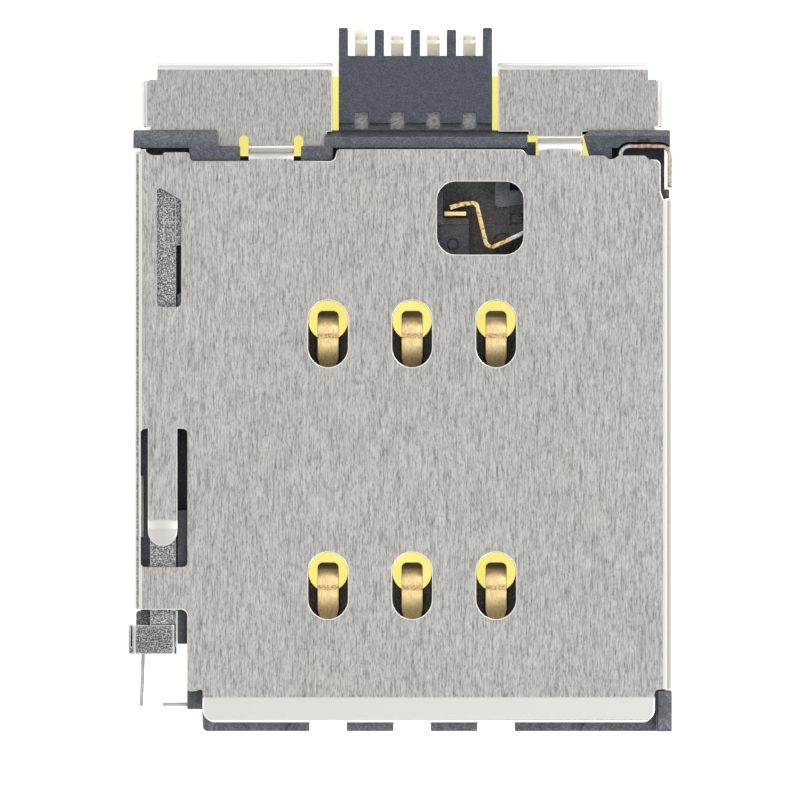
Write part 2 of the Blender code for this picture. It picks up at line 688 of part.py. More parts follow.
def bar_route():
    """Route of the detect contact's tail from its stem to the comb, seen from above."""
    stem = BAR[0] + BAR_STEM / 2
    return [(stem, BAR[2]), (stem, REAR_FACE - TAIL_JOG, ROUTE_BEND), (comb_x(2), REAR_FACE, ROUTE_BEND),
            (comb_x(2), HOUSING_REAR)]


def comb_end(number):
    """The wide end of a tail in the comb, and its tip bent down to the board."""
    x = comb_x(number)
    wide = COMB_TAIL_WIDTH / 2
    blade = solid([rectangle(x - wide, x + wide, REAR_FACE + FOLD_LAP, FILM_REAR)], HOUSING_Z, LEAD_TOP)
    path = [(FILM_REAR - FOLD_LAP, LEAD_MID), (TIP_BEND - SOFT, LEAD_MID, SOFT),
            (TIP_BEND, SOLDER_Z + LEAD / 2, SOFT), (TIP_ENDS[number], SOLDER_Z + LEAD / 2)]
    tip = solid([strip_outline(path, LEAD)], x - TIP_WIDTH / 2, x + TIP_WIDTH / 2, axis="X")
    return blade, tip


def flat_strip(route, width):
    """A strip of the lead frame, flat under the housing."""
    return solid([strip_outline(route, width)], HOUSING_Z, LEAD_TOP)


def make_contacts():
    """Six card contacts: the upper three run back to the comb, the lower three out at the mouth."""
    for column, (slot, tail_x) in enumerate(zip(CARD_SLOTS, TAIL_AT)):
        route = comb_tail_route(slot, column, tail_x)
        contact = card_beam(column_x(column), ROWS["upper"])
        add(contact, flat_strip(route, TAIL_WIDTH), *comb_end(slot))
        place(contact, f"card_contact_upper_{column + 1}", GOLD)
    for column in range(3):
        x = column_x(column)
        contact = card_beam(x, ROWS["lower"])
        start = ROWS["lower"] - BEAM_LENGTH - PAD_LENGTH / 2
        add(contact, flat_strip([(x, start), (x, MOUTH_TAIL_END)], TIP_WIDTH))
        place(contact, f"card_contact_lower_{column + 1}", GOLD)


def make_detect_switch():
    """The detect spring on edge, and the fixed bar that it rests on."""
    spring = solid([strip_outline(SPRING_PATH, SWITCH_STRIP)], *SWITCH_Z)
    place(spring, "detect_spring", GOLD)
    left, right, y = BAR
    bar = solid([rectangle(left, right, y - LEAD / 2, y + LEAD / 2)], FLOOR_TOP + GAP, BAR_TOP)
    stem = solid([rectangle(left, left + BAR_STEM, y - LEAD / 2, y + LEAD / 2)], HOUSING_Z,
                 BAR_TOP - LEAD)
    add(bar, stem, flat_strip(bar_route(), TAIL_WIDTH), *comb_end(2))
    place(bar, "detect_contact", GOLD)


def make_leaf_strips():
    """The long side leaf spring and the short front leaf strip, both on edge."""
    side = solid([strip_outline(SIDE_LEAF_PATH, LEAF)], *LEAF_Z)
    place(side, "side_leaf_spring", STAINLESS)
    left, right, y = FRONT_LEAF
    front = solid([rectangle(left, right, y - LEAF / 2, y + LEAF / 2)], *LEAF_Z)
    place(front, "front_leaf_strip", STAINLESS)


def make_push_rod():
    """The push rod with its slanted end, its foot, its stop shoulder and its folded head."""
    corner = ROD_END - ROD_SLANT * (FOOT_RIGHT - ROD_LEFT)
    shape = rounded([(ROD_LEFT, HEAD_FRONT + HEAD_WALL), (ROD_RIGHT, HEAD_FRONT + HEAD_WALL),
                     (ROD_RIGHT, FOOT_FRONT, FINE), (FOOT_RIGHT, FOOT_FRONT, SOFT),
                     (FOOT_RIGHT, corner, FINE), (ROD_LEFT, ROD_END, SOFT)])
    rod = solid([shape], ROD_Z, ROD_TOP)
    shoulder_rear = LEFT_WALL_FRONT - GAP
    step = rounded([(SHOULDER_LEFT, HEAD_REAR - HEAD_WALL), (ROD_LEFT + GAP, HEAD_REAR - HEAD_WALL),
                    (ROD_LEFT + GAP, shoulder_rear), (SHOULDER_LEFT, shoulder_rear, SOFT)])
    shoulder = solid([step], ROD_Z, ROD_Z + SHOULDER_THICK)
    top = ROD_TOP + HEAD_STEP
    low = ROD_Z - HEAD_DROP
    seam, seam_end = HEAD_GROOVE
    fold_left = HEAD_LEFT + seam_end
    section = rounded([(fold_left, ROD_Z), (ROD_RIGHT, ROD_Z), (ROD_RIGHT, top, HEAD_FOLD),
                       (fold_left, top, HEAD_FOLD)])
    plate = solid([section], HEAD_FRONT, HEAD_REAR, axis="Y")
    front_wall = solid([rectangle(HEAD_LEFT, ROD_RIGHT, HEAD_FRONT, HEAD_FRONT + HEAD_WALL, FINE)],
                       low, top - HEAD_WALL / 2)
    side_wall = solid([rectangle(HEAD_LEFT, HEAD_LEFT + HEAD_WALL, HEAD_FRONT, HEAD_REAR, FINE)],
                      low, ROD_TOP)
    add(rod, shoulder, plate, front_wall, side_wall)
    cut(rod, solid([rectangle(HEAD_LEFT + seam, fold_left, HEAD_FRONT + HEAD_WALL, HEAD_REAR + GAP)],
                   ROD_TOP - HEAD_WALL, top + SHEET))
    left, right, front, rear = EMBOSS
    cut(rod, solid([rectangle(left, right, front, rear, SOFT)], ROD_TOP - EMBOSS_DEPTH, ROD_TOP + SHEET))
    return place(rod, "push_rod", ROUGH_STEEL)


def link_outline(hub, hub_radius, tip, tip_radius):
    """Outline of two circles joined by their outer tangents."""
    hub, tip = Vector(hub), Vector(tip)
    along = tip - hub
    heading = math.atan2(along.y, along.x)
    lean = math.acos((hub_radius - tip_radius) / along.length)
    steps = 12
    points = []
    for number in range(steps + 1):
        angle = heading - lean + 2 * lean * number / steps
        points.append(tip + tip_radius * Vector((math.cos(angle), math.sin(angle))))
    for number in range(steps + 1):
        angle = heading + lean + 2 * (math.pi - lean) * number / steps
        points.append(hub + hub_radius * Vector((math.cos(angle), math.sin(angle))))
    return points


def make_eject_lever():
    """The lever: the rod pushes its short arm, its long arm pushes the card tray out."""
    span = (LEVER_Z, LEVER_Z + LEVER_THICK)
    lever = solid([link_outline(PIVOT, HUB_RADIUS, SHORT_ARM_TIP, TIP_RADIUS)], *span)
    add(lever, solid([link_outline(PIVOT, HUB_RADIUS, LONG_ARM_TIP, PUSHER_RADIUS)], *span))
    cut(lever, solid([circle(PIVOT, BOSS_RADIUS + GAP)], LEVER_Z - SHEET, LEVER_Z + 2 * LEVER_THICK))
    return place(lever, "eject_lever", ROUGH_STEEL, axis_point=(*PIVOT, LEVER_Z))


def floor_outline():
    """The housing's floor with its mouth lip, its rod side and its rear edge under the blocks."""
    inside = REAR_FACE + REAR_WALL / 3
    lap = REAR_FACE - FOLD_LAP
    return rounded([
        (FLARE_LEFT, LIP_FRONT, ROUND), (CORNER_BLOCK[1], LIP_FRONT, SOFT),
        (CORNER_BLOCK[1], RIGHT_WALL_FRONT - GAP), (COVER_RIGHT - SHEET - GAP, RIGHT_WALL_FRONT - GAP),
        (COVER_RIGHT - SHEET - GAP, RIGHT_WALL_REAR + GAP), (NIB[0], RIGHT_WALL_REAR + GAP),
        (NIB[0], NIB[1]), (RIGHT_FLOOR_EDGE, NIB[1]), (RIGHT_FLOOR_EDGE, inside),
        (RIGHT_BLOCK + FOLD_LAP, inside), (RIGHT_BLOCK + FOLD_LAP, FLOOR_REAR),
        (CENTRE_BLOCK[1] - FOLD_LAP, FLOOR_REAR), (CENTRE_BLOCK[1] - FOLD_LAP, inside),
        (CENTRE_BLOCK[0] + FOLD_LAP, inside), (CENTRE_BLOCK[0] + FOLD_LAP, lap),
        (CENTRE_TOE[0] + FOLD_LAP, lap), (CENTRE_TOE[0] + FOLD_LAP, FLOOR_REAR),
        (LEFT_TOE[1] - FOLD_LAP, FLOOR_REAR), (LEFT_TOE[1] - FOLD_LAP, lap),
        (LEFT_BLOCK_END - FOLD_LAP, lap), (LEFT_BLOCK_END - FOLD_LAP, inside), (HOUSING_LEFT, inside),
        (HOUSING_LEFT, LEFT_WALL_FRONT - GAP), (ROD_WALL[0], LEFT_WALL_FRONT - GAP),
        (ROD_WALL[0], ROD_WALL_FRONT), (FRONT_BLOCK[0], ROD_WALL_FRONT),
        (FRONT_BLOCK[0], FRONT_BLOCK[1]), (FLARE_LEFT, FRONT_BLOCK[1]),
    ])


def rear_blocks():
    """The rear wall: three blocks with toes that fill the cover's cut-outs."""
    left = rounded([
        (BLOCK_LEFT, REAR_FACE), (LEFT_TOE[0], REAR_FACE), (LEFT_TOE[0], LEFT_TOE[2], SOFT),
        (LEFT_TOE[1], LEFT_TOE[2], FINE), (LEFT_TOE[1], WING_FRONT - GAP, FINE),
        (LEFT_BLOCK_END, WING_FRONT - GAP), (LEFT_BLOCK_END, HOUSING_REAR, FINE),
        (BLOCK_LEFT, HOUSING_REAR, FINE)])
    centre = rounded([
        (CENTRE_TOE[0], CENTRE_TOE[2], FINE), (CENTRE_TOE[1], CENTRE_TOE[2], FINE),
        (CENTRE_TOE[1], REAR_FACE), (CENTRE_BLOCK[1], REAR_FACE, FINE),
        (CENTRE_BLOCK[1], HOUSING_REAR, FINE), (CENTRE_BLOCK[0], HOUSING_REAR, FINE),
        (CENTRE_BLOCK[0], WING_FRONT - GAP), (CENTRE_TOE[0], WING_FRONT - GAP, FINE)])
    right = rounded([
        (RIGHT_BLOCK, RIGHT_TOE[1]), (RIGHT_TOE[0], RIGHT_TOE[1], FINE), (RIGHT_TOE[0], REAR_FACE),
        (BLOCK_RIGHT, REAR_FACE), (BLOCK_RIGHT, HOUSING_REAR, FINE), (RIGHT_BLOCK, HOUSING_REAR, FINE),
        (RIGHT_BLOCK - BLOCK_CHAMFER, HOUSING_REAR - BLOCK_CHAMFER)])
    return [solid([shape], HOUSING_Z, WALL_TOP) for shape in (left, centre, right)]


def wing_shelves():
    """Low shelves of the floor that carry the film out under the wings."""
    inside = REAR_FACE + REAR_WALL / 2
    left, right = SHELF_LEFT
    left_shelf = rounded([
        (left, inside), (LEFT_BLOCK_END - FOLD_LAP, inside), (LEFT_BLOCK_END - FOLD_LAP, SHELF_FRONT),
        (CENTRE_BLOCK[0] + FOLD_LAP / 2, SHELF_FRONT), (CENTRE_BLOCK[0] + FOLD_LAP / 2, inside),
        (right, inside), (right, SHELF_REAR, SOFT), (left, SHELF_REAR, SOFT)])
    left, right = SHELF_RIGHT
    right_shelf = rounded([
        (left, inside), (CENTRE_BLOCK[1] - FOLD_LAP, inside), (CENTRE_BLOCK[1] - FOLD_LAP, SHELF_FRONT),
        (RIGHT_BLOCK + FOLD_LAP, SHELF_FRONT), (RIGHT_BLOCK + FOLD_LAP, inside),
        (right, inside), (right, SHELF_REAR, SOFT), (left, SHELF_REAR, SOFT)])
    return [solid([shape], HOUSING_Z, FLOOR_TOP) for shape in (left_shelf, right_shelf)]


def comb():
    """The comb's body with four windows, and its five fingers."""
    half = FINGER_WIDTH / 2
    root = HOUSING_REAR - REAR_WALL / 2
    body = rectangle(comb_x(-0.5) - half, comb_x(3.5) + half, root, COMB_FRONT)
    width, front, rear = COMB_WINDOW
    windows = [rectangle(comb_x(n) - width / 2, comb_x(n) + width / 2, front + GAP, rear) for n in range(4)]
    fingers = []
    for number in range(5):
        x = comb_x(number - 0.5)
        reach = OUTER_FINGER if number in (0, 4) else INNER_FINGER
        finger = rectangle(x - half, x + half, COMB_FRONT - FOLD_LAP, reach, FINE)
        fingers.append(solid([finger], HOUSING_Z, COMB_TOP))
    return [solid([body, *windows], HOUSING_Z, COMB_TOP), *fingers]


def walls_and_blocks():
    """What stands on the floor: rod ledge and wall, guide, corner blocks, switch blocks, lever boss."""
    ledge_top = ROD_Z - GAP
    side = COVER_RIGHT - SHEET - GAP
    root = FLOOR_TOP - RAMP_DEPTH
    inside = REAR_FACE + REAR_WALL / 3
    corner_rear = RIGHT_WALL_FRONT - GAP
    corner_left, corner_right = CORNER_BLOCK
    block_left, block_right, block_front, block_rear = SWITCH_BLOCK
    under_flare = COVER_FRONT - FLARE_LENGTH / 2
    pad_top = FLOOR_TOP + PAD_RISE
    plain = [
        (rectangle(HOUSING_LEFT, ROD_WALL[1], LEFT_WALL_FRONT - GAP, inside), ledge_top),
        (rectangle(ROD_WALL[0], ROD_WALL[1], ROD_WALL_FRONT, ROD_WALL_REAR, FINE), WALL_TOP),
        (rectangle(side - GUIDE, side, RIGHT_WALL_FRONT, RIGHT_WALL_REAR, FINE), WALL_TOP),
        (rectangle(corner_left, corner_right, LIP_FRONT, corner_rear, FINE), CORNER_TOP),
        (rectangle(corner_left + CORNER_RIB, corner_right, LIP_FRONT + CORNER_RIB, corner_rear, FINE),
         RIB_TOP),
        (rectangle(FRONT_BLOCK[0], FLARE_LEFT, FRONT_BLOCK[1], STEP_FRONT + LOBE), FRONT_BLOCK_TOP),
        (rectangle(side - GUIDE, NIB[0], RIGHT_WALL_REAR + GAP, NIB[1]), ledge_top),
        (rectangle(block_left, block_right, block_front, block_rear, FINE), SWITCH_BLOCK_TOP),
        (rectangle(block_left, block_right, block_rear - SWITCH_STEP, block_rear, FINE),
         SWITCH_BLOCK_TOP + MARK_DEPTH),
        (rectangle(block_left, SWITCH_RIB[0], block_rear - SWITCH_STEP, SWITCH_RIB[1]), SWITCH_RIB_TOP),
        (rounded([(STOP_BLOCK[0], STOP_BLOCK[2], ROUND), (STOP_BLOCK[1], STOP_BLOCK[2] + ROUND),
                  (STOP_BLOCK[1], inside), (STOP_BLOCK[0], inside)]), STOP_BLOCK_TOP),
        (rounded([(FLARE_LEFT, LIP_FRONT, ROUND), (LIP_PADS[0] - PAD_LEAN / 2, LIP_FRONT),
                  (LIP_PADS[0] + PAD_LEAN / 2, under_flare), (FLARE_LEFT, under_flare)]), pad_top),
        (rounded([(LIP_PADS[1] + PAD_LEAN / 2, LIP_FRONT), (corner_left + SOFT, LIP_FRONT),
                  (corner_left + SOFT, under_flare), (LIP_PADS[1] - PAD_LEAN / 2, under_flare)]),
         pad_top),
        (circle(PIVOT, HUB_RADIUS), LEVER_Z - GAP),
        (circle(PIVOT, BOSS_RADIUS), WALL_TOP),
    ]
    left = COVER_LEFT + SHEET + GAP
    rail = rectangle(left, HOUSING_LEFT + FOLD_LAP, LEFT_WALL_FRONT - GAP, inside)
    return [solid([shape], root, top) for shape, top in plain] + [solid([rail], LEAF_Z[1] + GAP, ledge_top)]


def contact_cuts():
    """Round holes and beam windows through the floor, and the grooves under it for the lead frame."""
    cuts = []
    groove = LEAD_TOP + GAP
    for name, row in ROWS.items():
        for number in range(3):
            x = column_x(number)
            half = DOME_WIDTH / 2 + BEAM_PLAY
            root = row - BEAM_LENGTH - FOLD_LAP
            cuts.append(solid([circle((x, row + HOLE_AHEAD), HOLE_RADIUS)], 0.0, COVER_TOP))
            cuts.append(solid([rectangle(x - half, x + half, root, row - WEB_END)], 0.0, COVER_TOP))
            cuts.append(solid([rectangle(x - half, x + half, row - WEB_END - FOLD_LAP, row + HOLE_AHEAD)],
                              HOUSING_Z + BEAM_WEB, COVER_TOP))
            pad = PAD_WIDTH / 2 + GAP
            cuts.append(solid([rectangle(x - pad, x + pad, row - BEAM_LENGTH - PAD_LENGTH - GAP,
                                         row - BEAM_LENGTH + GAP)], 0.0, groove))
            if name == "lower":
                cuts.append(solid([strip_outline([(x, root), (x, MOUTH_TAIL_END - FLOOR)],
                                                 TIP_WIDTH + 2 * GAP)], 0.0, groove))
    for column, (slot, tail_x) in enumerate(zip(CARD_SLOTS, TAIL_AT)):
        route = comb_tail_route(slot, column, tail_x)
        cuts.append(solid([strip_outline(route, TAIL_WIDTH + 2 * GAP)], 0.0, groove))
    cuts.append(solid([strip_outline(bar_route(), TAIL_WIDTH + 2 * GAP)], 0.0, groove))
    wide = COMB_TAIL_WIDTH / 2 + GAP
    for number in range(4):
        x = comb_x(number)
        cuts.append(solid([rectangle(x - wide, x + wide, REAR_FACE + FOLD_LAP - GAP, OUTER_FINGER)],
                          0.0, groove))
    left, _, y = BAR
    cuts.append(solid([rectangle(left - GAP, left + BAR_STEM + GAP, y - LEAD / 2 - GAP,
                                 y + LEAD / 2 + GAP)], 0.0, COVER_TOP))
    return cuts


def wing_grooves():
    """Grooves in the rear wall's blocks that take the front edges of the cover's wings."""
    deep = HOUSING_REAR - TUCK - GAP
    front = WING_FRONT - TUCK - 2 * GAP
    behind = HOUSING_REAR + GAP
    runs = [rectangle(BLOCK_LEFT - GAP, LEFT_BLOCK_END + GAP, deep, behind),
            rectangle(LEFT_BLOCK_END - TUCK - GAP, LEFT_TOE[1] + GAP, front, behind),
            rectangle(CENTRE_TOE[0] - GAP, CENTRE_BLOCK[0] + TUCK + GAP, front, behind),
            rectangle(CENTRE_BLOCK[0], WING_INNER_LEFT + GAP, deep, behind),
            rectangle(WING_INNER_RIGHT - GAP, CENTRE_BLOCK[1] + GAP, deep, behind),
            rectangle(RIGHT_BLOCK - BLOCK_CHAMFER - GAP, BLOCK_RIGHT + GAP, deep, behind)]
    half = SHEET / 2 + GAP
    return [solid([run], WING_MID - half, WING_MID + half) for run in runs]


def small_cuts():
    """Slits that hold the thin strips, lip gaps and ramps, moulding marks and the stop block's notch."""
    cuts = [solid([strip_outline(SPRING_PATH, SWITCH_STRIP + 2 * GAP)], SWITCH_Z[0] - GAP, COVER_TOP),
            solid([strip_outline(SIDE_LEAF_PATH, LEAF + 2 * GAP)], 0.0, LEAF_Z[1] + GAP)]
    view = SIDE_LEAF_PATH[3][0]
    cuts.append(solid([rectangle(view - LEAF, view + LEAF / 2, LEAF_VIEW[1], LEAF_VIEW[0])],
                      LEAF_Z[1], COVER_TOP))
    left, right, y = FRONT_LEAF
    half = LEAF / 2 + GAP
    cuts.append(solid([rectangle(left, right + GAP, y - half, y + half)], 0.0, LEAF_Z[1] + GAP))
    for number in range(3):
        x = column_x(number)
        cuts.append(solid([rectangle(x - LIP_GAP / 2, x + LIP_GAP / 2, LIP_FRONT - GAP,
                                     COVER_FRONT - FLARE_LENGTH)], 0.0, COVER_TOP))
    for x, width in LIP_RECESS:
        lean = RAMP_DEPTH * 2
        shape = rounded([(x - width / 2 + lean, LIP_FRONT - GAP), (x + width / 2 - lean, LIP_FRONT - GAP),
                         (x + width / 2, COVER_FRONT - FLARE_LENGTH),
                         (x - width / 2, COVER_FRONT - FLARE_LENGTH)])
        cuts.append(solid([shape], FLOOR_TOP - RAMP_DEPTH, COVER_TOP))
    for (x, y, radius), level in ((SMALL_MARK, SWITCH_BLOCK_TOP), (LARGE_MARK, FLOOR_TOP)):
        ring = [circle((x, y), radius, 24), circle((x, y), radius - MARK_GROOVE, 24)]
        cuts.append(solid(ring, level - 2 * MARK_DEPTH, level + MARK_DEPTH))
    cuts.append(solid([rectangle(*STOP_NOTCH)], FLOOR_TOP, COVER_TOP))
    gap_front, gap_rear, sill = WALL_GAP
    cuts.append(solid([rectangle(ROD_RIGHT + GAP, ROD_WALL[1] + GAP, gap_front, gap_rear)],
                      sill, COVER_TOP))
    left, right, front, rear = SQUARE_MARK
    frame = [rectangle(left, right, front, rear), rectangle(left + MARK_GROOVE, right - MARK_GROOVE,
                                                            front + MARK_GROOVE, rear - MARK_GROOVE)]
    cuts.append(solid(frame, FLOOR_TOP - 2 * MARK_DEPTH, SWITCH_Z[0]))
    cuts.append(solid([rectangle(*TAIL_NOTCH)], WALL_TOP - TAIL_NOTCH_DEPTH, COVER_TOP))
    spans = [(BLOCK_LEFT, LEFT_BLOCK_END), CENTRE_BLOCK, (RIGHT_BLOCK - BLOCK_CHAMFER, BLOCK_RIGHT)]
    for (left, right), (width, depth) in zip(spans, BLOCK_SLOPES):
        slope = [(HOUSING_REAR - width, WALL_TOP), (HOUSING_REAR, WALL_TOP - depth),
                 (HOUSING_REAR + width, WALL_TOP - depth),
                 (HOUSING_REAR + width, COVER_TOP), (HOUSING_REAR - width, COVER_TOP)]
        cuts.append(solid([slope], left - GAP, right + GAP, axis="X"))
    return cuts


def make_housing():
    """The housing: one moulding."""
    housing = solid([floor_outline()], HOUSING_Z, FLOOR_TOP)
    add(housing, *rear_blocks(), *wing_shelves(), *comb(), *walls_and_blocks())
    cut(housing, *contact_cuts(), *wing_grooves(), *small_cuts())
    return place(housing, "housing", PLASTIC)


make_film()
make_housing()
make_contacts()
make_detect_switch()
make_leaf_strips()
make_push_rod()
make_eject_lever()
make_cover()
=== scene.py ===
"""Finished look of the card socket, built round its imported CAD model.

The camera looks straight down on the socket, as it lies on its board side with the mouth towards
the viewer. Lengths are written in millimetres and turned into metres where they are used.
"""

import json
import math

import bmesh
import bpy
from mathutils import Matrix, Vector
from mathutils.bvhtree import BVHTree


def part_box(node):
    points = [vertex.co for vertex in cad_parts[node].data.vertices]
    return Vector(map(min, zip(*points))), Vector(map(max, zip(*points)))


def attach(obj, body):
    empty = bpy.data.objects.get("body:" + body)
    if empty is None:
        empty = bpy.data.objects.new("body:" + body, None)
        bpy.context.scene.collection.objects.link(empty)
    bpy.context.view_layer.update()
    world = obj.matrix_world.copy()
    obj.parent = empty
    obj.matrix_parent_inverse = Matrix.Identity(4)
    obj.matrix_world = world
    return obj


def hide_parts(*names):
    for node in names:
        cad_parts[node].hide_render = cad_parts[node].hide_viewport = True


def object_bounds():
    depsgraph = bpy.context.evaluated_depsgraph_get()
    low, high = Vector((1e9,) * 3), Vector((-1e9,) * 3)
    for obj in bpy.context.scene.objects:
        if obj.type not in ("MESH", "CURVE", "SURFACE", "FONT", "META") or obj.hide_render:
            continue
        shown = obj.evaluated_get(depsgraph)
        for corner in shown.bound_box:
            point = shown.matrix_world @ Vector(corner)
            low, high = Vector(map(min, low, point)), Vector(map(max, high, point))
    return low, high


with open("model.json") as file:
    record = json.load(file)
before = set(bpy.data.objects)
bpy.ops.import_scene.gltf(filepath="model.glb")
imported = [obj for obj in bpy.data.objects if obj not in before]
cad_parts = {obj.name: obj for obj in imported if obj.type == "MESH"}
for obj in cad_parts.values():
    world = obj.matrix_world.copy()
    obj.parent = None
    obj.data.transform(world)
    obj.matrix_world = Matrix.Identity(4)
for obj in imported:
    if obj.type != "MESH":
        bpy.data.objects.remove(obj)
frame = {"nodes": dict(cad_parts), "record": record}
cad_low, cad_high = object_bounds()
MM = 0.001

# The insulating film: a sheet of yellow polyimide, stuck under the housing so that the board's
# tracks stay clear of the metal. It glows by itself, so that it looks lit in every hole of the
# moulding above it, and a dark patch is painted on it where the switch leaves it in shade.

BAND_EDGE = 0.02
SWITCH_SHADE = ((1.20, 1.75), (4.80, 5.20))


def new_finish(name, metallic, roughness):
    """A new Principled material: the material, its node tree and its shader."""
    material = bpy.data.materials.new(name)
    material.use_nodes = True
    shader = material.node_tree.nodes["Principled BSDF"]
    shader.inputs["Metallic"].default_value = metallic
    shader.inputs["Roughness"].default_value = roughness
    return material, material.node_tree, shader


def put(tree, kind, inputs, **settings):
    """Add a node. Each input is a value, or another node's output to link."""
    node = tree.nodes.new(kind)
    for name, value in settings.items():
        setattr(node, name, value)
    for key, value in inputs.items():
        if isinstance(value, bpy.types.NodeSocket):
            tree.links.new(value, node.inputs[key])
        else:
            node.inputs[key].default_value = value
    return node


def noise(tree, grain, detail=2.0, roughness=0.6, offset=0.0):
    """Noise whose cells measure grain = (x, y, z) millimetres on the object."""
    place = put(tree, "ShaderNodeTexCoord", {}).outputs["Object"]
    scale = [1 / (size * MM) for size in grain]
    mapped = put(tree, "ShaderNodeMapping", {"Vector": place, "Scale": scale, "Location": (offset, 0, 0)})
    return put(tree, "ShaderNodeTexNoise", {"Vector": mapped.outputs[0], "Scale": 1.0, "Detail": detail,
                                            "Roughness": roughness}).outputs["Fac"]


def ramp(tree, value, stops):
    """Colours along a value: stops are (position, colour)."""
    node = put(tree, "ShaderNodeValToRGB", {"Fac": value})
    elements = node.color_ramp.elements
    while len(elements) < len(stops):
        elements.new(0.5)
    for element, (position, colour) in zip(elements, stops):
        element.position = position
        element.color = (*colour, 1.0)
    return node.outputs["Color"]


def bump(tree, shader, height, depth):
    """Let a grey pattern stand depth millimetres proud."""
    node = put(tree, "ShaderNodeBump", {"Height": height, "Strength": 1.0, "Distance": depth * MM})
    tree.links.new(node.outputs["Normal"], shader.inputs["Normal"])


def times(tree, first, second):
    """Two colours multiplied."""
    return put(tree, "ShaderNodeVectorMath", {0: first, 1: second}, operation="MULTIPLY").outputs[0]


def along(tree, axis, start, end):
    """0 before start and 1 past end, in millimetres along an axis of the object."""
    place = put(tree, "ShaderNodeTexCoord", {}).outputs["Object"]
    value = put(tree, "ShaderNodeSeparateXYZ", {"Vector": place}).outputs[axis]
    return put(tree, "ShaderNodeMapRange", {"Value": value, "From Min": start * MM,
                                            "From Max": end * MM}).outputs["Result"]


def band(tree, axis, low, high):
    """1 between low and high, in millimetres along an axis of the object, and 0 elsewhere."""
    return times(tree, along(tree, axis, low - BAND_EDGE, low), along(tree, axis, high + BAND_EDGE, high))


def patch(tree, span_x, span_y):
    """1 inside a rectangle of the object seen from above, in millimetres, and 0 elsewhere."""
    return times(tree, band(tree, "X", *span_x), band(tree, "Y", *span_y))


def blend(tree, mask, first, second):
    """The first colour where the mask is 0, the second where it is 1."""
    return put(tree, "ShaderNodeMix", {0: mask, 6: first, 7: second}, data_type="RGBA").outputs[2]


film_finish, tree, shader = new_finish("yellow_film", 0.0, 0.30)
cloud = noise(tree, (1.6, 1.6, 1.6))
colour = ramp(tree, cloud, [(0.35, (0.93, 0.82, 0.20)), (0.65, (0.97, 0.88, 0.28))])
colour = blend(tree, patch(tree, *SWITCH_SHADE), colour, (0.03, 0.025, 0.02, 1.0))
tree.links.new(colour, shader.inputs["Base Color"])
tree.links.new(colour, shader.inputs["Emission Color"])
shader.inputs["Emission Strength"].default_value = 0.88
bump(tree, shader, noise(tree, (0.25, 0.25, 0.25)), 0.002)

film = frame["nodes"]["insulating_film"]
film.data.materials.clear()
film.data.materials.append(film_finish)

# The housing: one moulding of a glass-filled, heat-proof plastic. Fine fibres give its dark
# blue-grey skin a dry speckle, and every longer edge has the small radius of a mould. Its tone
# changes with height and in a few patches as painted light and shade, its slopes are painted
# paler than level faces as painted light, and its front lip is lighter.

BODY_OF = {node: body for body, nodes in frame["record"]["behaviour"]["bodies"].items() for node in nodes}
EDGE_RADIUS = 0.02
MERGE = 0.002
FLAT = math.radians(0.6)
SHARP = math.radians(30)
SHADING_SPLIT = math.radians(36)
FOLDED = -0.5
BLOCK_CORNER = (5.55, 7.36)
# Painted shade beside the rod and on the right rear block, painted light on the ledge left of it.
PAINTED_LIGHT_AND_SHADE = (((-6.80, -6.40), (-8.00, -3.90), (0.024, 0.028, 0.034, 1.0)),   # the wall beside the rod
          ((-7.95, -7.50), (-5.70, -1.50), (0.150, 0.150, 0.180, 1.0)),   # the ledge left of the rod
          ((5.50, 8.25), (6.50, 7.36), (0.048, 0.053, 0.068, 1.0)))       # the right rear block


def grey(value):
    """A neutral colour."""
    return (value, value, value)


def upward(tree):
    """How far a face looks up: 1 on a level face, 0 on an upright one."""
    facing = put(tree, "ShaderNodeTexCoord", {}).outputs["Normal"]
    return put(tree, "ShaderNodeSeparateXYZ", {"Vector": facing}).outputs["Z"]


def plain_mesh(piece):
    """Apply a piece's modifiers to a new mesh of its own."""
    bpy.context.view_layer.update()
    result = bpy.data.meshes.new_from_object(piece.evaluated_get(bpy.context.evaluated_depsgraph_get()))
    piece.modifiers.clear()
    piece.data = result


def stand_for(piece, node):
    """Let a finished piece ride and count in the place of its CAD node."""
    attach(piece, BODY_OF[node])
    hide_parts(node)


